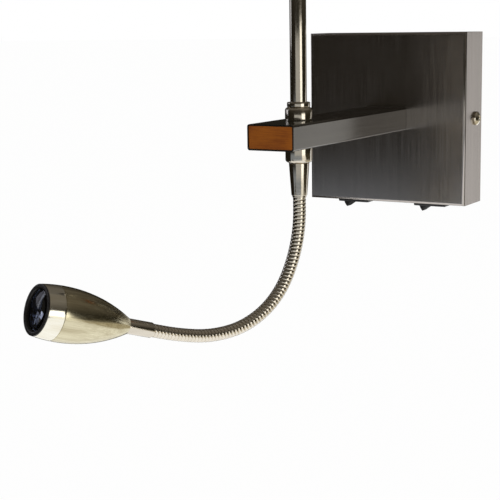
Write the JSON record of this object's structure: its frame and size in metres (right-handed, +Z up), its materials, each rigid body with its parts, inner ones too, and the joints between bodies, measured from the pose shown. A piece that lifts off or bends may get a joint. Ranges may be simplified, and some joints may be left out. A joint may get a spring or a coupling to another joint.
{
  "type": "wall reading lamp",
  "caption": "Wall lamp with a square box, flat arm, upright stem for a shaded bulb and a reading head on a flexible neck.",
  "frame": {"origin": "middle of the wall bracket's back, on the wall plane", "axes": "+X to the right along the wall, +Y into the wall, +Z up"},
  "size_m": [0.1967, 0.4195, 0.3314],
  "materials": {
    "box_metal": "satin, vertical brushing",
    "arm_metal": "satin, brushed along the arm",
    "cap_bronze": "brushed, warm brown",
    "turned_nickel": "satin nickel, turned",
    "neck_steel": "satin nickel, ribbed",
    "head_metal": "satin champagne nickel plating",
    "ring_black": "black",
    "lens_glass": "clear, slightly blue",
    "bare_aluminium": "bare",
    "board_white": "white board",
    "phosphor": "yellow phosphor",
    "zinc_steel": "bright zinc",
    "brass": "bright",
    "switch_black": "black",
    "holder_black": "black",
    "porcelain": "glazed white",
    "driver_white": "white",
    "terminal_white": "white",
    "lead_sheath": "pale sheath"
  },
  "bodies": {
    "root": {"cover_box": "box_metal", "wall_bracket": "zinc_steel", "cover_screws": "zinc_steel", "arm_tube": "arm_metal", "arm_flange": "zinc_steel", "flange_nuts": "zinc_steel", "arm_end_cap": "cap_bronze", "stem_nipple": "brass", "upper_collar": "turned_nickel", "stem_ring": "turned_nickel", "stem_tube": "turned_nickel", "lower_collar": "turned_nickel", "switch_body_left": "switch_black", "switch_body_right": "switch_black", "switch_blades": "brass", "led_driver": "driver_white", "driver_screws": "zinc_steel", "terminal_block": "terminal_white", "terminal_screws": "zinc_steel", "earth_stud": "zinc_steel", "lamp_lead": "lead_sheath", "led_lead": "lead_sheath", "top_nipple": "brass", "lampholder_cap": "turned_nickel", "lampholder_body": "holder_black", "lampholder_insert": "porcelain", "lampholder_shell": "brass", "lampholder_contact": "brass", "shade_rings": "holder_black"},
    "rocker_left": {"rocker_left": "switch_black"},
    "rocker_right": {"rocker_right": "switch_black"},
    "neck_base": {"neck_ferrule": "turned_nickel", "neck_hose_0": "neck_steel", "neck_lead_0": "lead_sheath"},
    "neck_1": {"neck_hose_1": "neck_steel", "neck_lead_1": "lead_sheath"},
    "neck_2": {"neck_hose_2": "neck_steel", "neck_lead_2": "lead_sheath"},
    "neck_3": {"neck_hose_3": "neck_steel", "neck_lead_3": "lead_sheath"},
    "neck_4": {"neck_hose_4": "neck_steel", "neck_lead_4": "lead_sheath"},
    "neck_5": {"neck_hose_5": "neck_steel", "neck_lead_5": "lead_sheath"},
    "head": {"neck_hose_6": "neck_steel", "neck_lead_6": "lead_sheath", "neck_sleeve": "turned_nickel", "head_shell": "head_metal", "head_bezel": "head_metal", "front_ring": "ring_black", "lens": "lens_glass", "reflector": "bare_aluminium", "led_board": "board_white", "led_chip": "phosphor", "board_screws": "zinc_steel", "heat_sink": "bare_aluminium"}
  },
  "joints": [
    {"name": "neck_swivel", "type": "hinge", "parent": "root", "child": "neck_base", "pos_m": [0, -0.204, -0.03], "axis": [0, 0, 1], "range_deg": [-64, 116]},
    {"name": "neck_bend_1", "type": "hinge", "parent": "neck_base", "child": "neck_1", "pos_m": [-0.00008, -0.20417, -0.067], "axis": [-0.8988, 0.4384, 0], "range_deg": [-12, 24]},
    {"name": "neck_bend_2", "type": "hinge", "parent": "neck_1", "child": "neck_2", "pos_m": [-0.00307, -0.2103, -0.09916], "axis": [-0.8988, 0.4384, 0], "range_deg": [-17, 19]},
    {"name": "neck_bend_3", "type": "hinge", "parent": "neck_2", "child": "neck_3", "pos_m": [-0.01034, -0.2252, -0.12745], "axis": [-0.8988, 0.4384, 0], "range_deg": [-28, 8]},
    {"name": "neck_bend_4", "type": "hinge", "parent": "neck_3", "child": "neck_4", "pos_m": [-0.02233, -0.24978, -0.14537], "axis": [-0.8988, 0.4384, 0], "range_deg": [-26, 10]},
    {"name": "neck_bend_5", "type": "hinge", "parent": "neck_4", "child": "neck_5", "pos_m": [-0.03656, -0.27897, -0.14997], "axis": [-0.8988, 0.4384, 0], "range_deg": [-17, 18]},
    {"name": "neck_bend_6", "type": "hinge", "parent": "neck_5", "child": "head", "pos_m": [-0.05081, -0.30818, -0.14468], "axis": [-0.8988, 0.4384, 0], "range_deg": [-6, 29]},
    {"name": "rocker_left_tilt", "type": "hinge", "parent": "root", "child": "rocker_left", "pos_m": [-0.0375, -0.021, -0.0754], "axis": [0, 1, 0], "range_deg": [0, 28]},
    {"name": "rocker_right_tilt", "type": "hinge", "parent": "root", "child": "rocker_right", "pos_m": [0.0375, -0.021, -0.0754], "axis": [0, 1, 0], "range_deg": [0, 28]}
  ]
}
